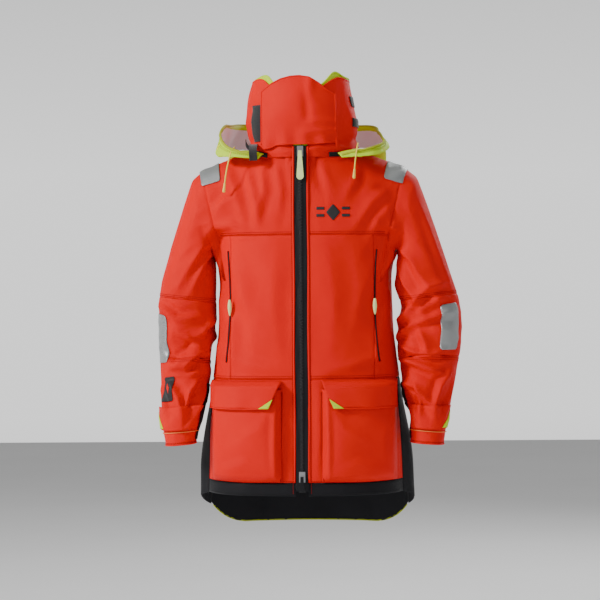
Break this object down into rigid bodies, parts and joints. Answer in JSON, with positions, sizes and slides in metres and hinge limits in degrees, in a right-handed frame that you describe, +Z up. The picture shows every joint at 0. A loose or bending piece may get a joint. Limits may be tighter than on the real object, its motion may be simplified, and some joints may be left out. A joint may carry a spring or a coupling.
{
  "type": "foul weather jacket",
  "caption": "Hooded foul weather sailing jacket in its worn shape, with a tall collar and face guard, two-way front zip, flapped cargo pockets, cuff tabs and a dropped tail.",
  "frame": {"origin": "the hanger loop inside the back of the neck", "axes": "+Z up, +X towards the wearer's left, -Y out of the jacket's front"},
  "size_m": [0.6522, 0.4156, 0.964],
  "materials": {
    "red_cloth": "matt woven laminate",
    "black_cloth": "matt abrasion cloth",
    "hivis_cloth": "fluorescent yellow-green cloth",
    "mesh_lining": "pale grey lining",
    "black_tape": "loop pile tape",
    "hivis_rubber": "satin moulded",
    "hivis_cord": "braided",
    "slider_metal": "dark coated metal",
    "zip_tape": "coated tape",
    "zip_plastic": "satin moulded teeth",
    "reflective_tape": "retroreflective",
    "black_rubber": "matt stretch"
  },
  "bodies": {
    "torso": {"back_body": "red_cloth", "back_tail": "black_cloth", "back_yoke": "red_cloth", "cargo_pocket_left": "red_cloth", "cargo_pocket_right": "red_cloth", "chest_emblem": "black_tape", "collar_lining": "hivis_cloth", "collar_loop_tapes": "black_tape", "collar_shell": "red_cloth", "cord_tip_left": "hivis_rubber", "cord_tip_right": "hivis_rubber", "drawcord_left": "hivis_cord", "drawcord_right": "hivis_cord", "front_body_left": "red_cloth", "front_body_right": "red_cloth", "front_skirt_left": "red_cloth", "front_skirt_right": "red_cloth", "front_yoke_left": "red_cloth", "front_yoke_right": "red_cloth", "hand_pocket_zips": "zip_tape", "hanger_loop": "black_tape", "hem_band_left": "black_cloth", "hem_band_right": "black_cloth", "neck_binding": "black_cloth", "shoulder_reflectors": "reflective_tape", "side_panel_left": "red_cloth", "side_panel_right": "red_cloth", "side_skirt_left": "black_cloth", "side_skirt_right": "black_cloth", "storm_flap": "zip_tape", "zip_box": "zip_plastic", "zip_tapes": "zip_tape", "zip_teeth": "zip_plastic"},
    "main_slider": {"main_slider": "slider_metal"},
    "main_pull": {"main_pull": "hivis_rubber"},
    "lower_slider": {"lower_slider": "slider_metal"},
    "lower_pull": {"lower_pull": "zip_tape"},
    "face_guard": {"face_guard": "red_cloth"},
    "hood": {"hood_shell": "hivis_cloth", "hood_lining": "mesh_lining"},
    "sleeve_left": {"upper_sleeve_left": "red_cloth", "sleeve_reflector_left": "reflective_tape"},
    "forearm_left": {"forearm_sleeve_left": "red_cloth", "cuff_left": "red_cloth", "wrist_gaiter_left": "black_rubber"},
    "cuff_tab_left": {"cuff_tab_left": "red_cloth"},
    "flap_left": {"pocket_flap_left": "red_cloth"},
    "hand_puller_left": {"hand_pocket_puller_left": "hivis_cloth"},
    "sleeve_right": {"upper_sleeve_right": "red_cloth", "sleeve_reflector_right": "reflective_tape"},
    "forearm_right": {"forearm_sleeve_right": "red_cloth", "cuff_right": "red_cloth", "wrist_gaiter_right": "black_rubber"},
    "cuff_tab_right": {"cuff_tab_right": "red_cloth"},
    "flap_right": {"pocket_flap_right": "red_cloth"},
    "hand_puller_right": {"hand_pocket_puller_right": "hivis_cloth"}
  },
  "joints": [
    {"name": "main_slider_run", "type": "slide", "parent": "torso", "child": "main_slider", "axis": [0, -0.0576, -0.9983], "range_m": [0, 0.4]},
    {"name": "main_pull_swing", "type": "hinge", "parent": "main_slider", "child": "main_pull", "pos_m": [0, -0.21161, -0.028], "axis": [-1, 0, 0], "range_deg": [0, 100]},
    {"name": "lower_slider_run", "type": "slide", "parent": "torso", "child": "lower_slider", "axis": [0, 0.0576, 0.9983], "range_m": [0, 0.2]},
    {"name": "lower_pull_swing", "type": "hinge", "parent": "lower_slider", "child": "lower_pull", "pos_m": [0, -0.25084, -0.708], "axis": [-1, 0, 0], "range_deg": [0, 100]},
    {"name": "face_guard_swing", "type": "hinge", "parent": "torso", "child": "face_guard", "pos_m": [0.074, -0.1911, 0.04], "axis": [0, 0, 1], "range_deg": [0, 95]},
    {"name": "hood_raise", "type": "hinge", "parent": "torso", "child": "hood", "pos_m": [0, -0.152, -0.042], "axis": [1, 0, 0], "range_deg": [0, 75]},
    {"name": "shoulder_raise_left", "type": "hinge", "parent": "torso", "child": "sleeve_left", "pos_m": [0.218, -0.095, -0.05], "axis": [0, -1, 0], "range_deg": [0, 70]},
    {"name": "elbow_bend_left", "type": "hinge", "parent": "sleeve_left", "child": "forearm_left", "pos_m": [0.261, -0.169, -0.401], "axis": [-1, 0, 0], "range_deg": [0, 75]},
    {"name": "cuff_tab_open_left", "type": "hinge", "parent": "forearm_left", "child": "cuff_tab_left", "pos_m": [0.238, -0.1871, -0.589], "axis": [0, -0.132, -0.9912], "range_deg": [0, 80]},
    {"name": "flap_lift_left", "type": "hinge", "parent": "torso", "child": "flap_left", "pos_m": [0.1321, -0.2471, -0.508], "axis": [-0.9353, -0.3538, 0], "range_deg": [0, 110]},
    {"name": "hand_puller_run_left", "type": "slide", "parent": "torso", "child": "hand_puller_left", "axis": [0, 0.0713, 0.9975], "range_m": [-0.09, 0.095]},
    {"name": "shoulder_raise_right", "type": "hinge", "parent": "torso", "child": "sleeve_right", "pos_m": [-0.218, -0.095, -0.05], "axis": [0, 1, 0], "range_deg": [0, 70]},
    {"name": "elbow_bend_right", "type": "hinge", "parent": "sleeve_right", "child": "forearm_right", "pos_m": [-0.261, -0.169, -0.401], "axis": [-1, 0, 0], "range_deg": [0, 75]},
    {"name": "cuff_tab_open_right", "type": "hinge", "parent": "forearm_right", "child": "cuff_tab_right", "pos_m": [-0.238, -0.1871, -0.589], "axis": [0, 0.132, 0.9912], "range_deg": [0, 80]},
    {"name": "flap_lift_right", "type": "hinge", "parent": "torso", "child": "flap_right", "pos_m": [-0.1321, -0.2471, -0.508], "axis": [-0.9353, 0.3538, 0], "range_deg": [0, 110]},
    {"name": "hand_puller_run_right", "type": "slide", "parent": "torso", "child": "hand_puller_right", "axis": [0, 0.0713, 0.9975], "range_m": [-0.09, 0.095]}
  ]
}
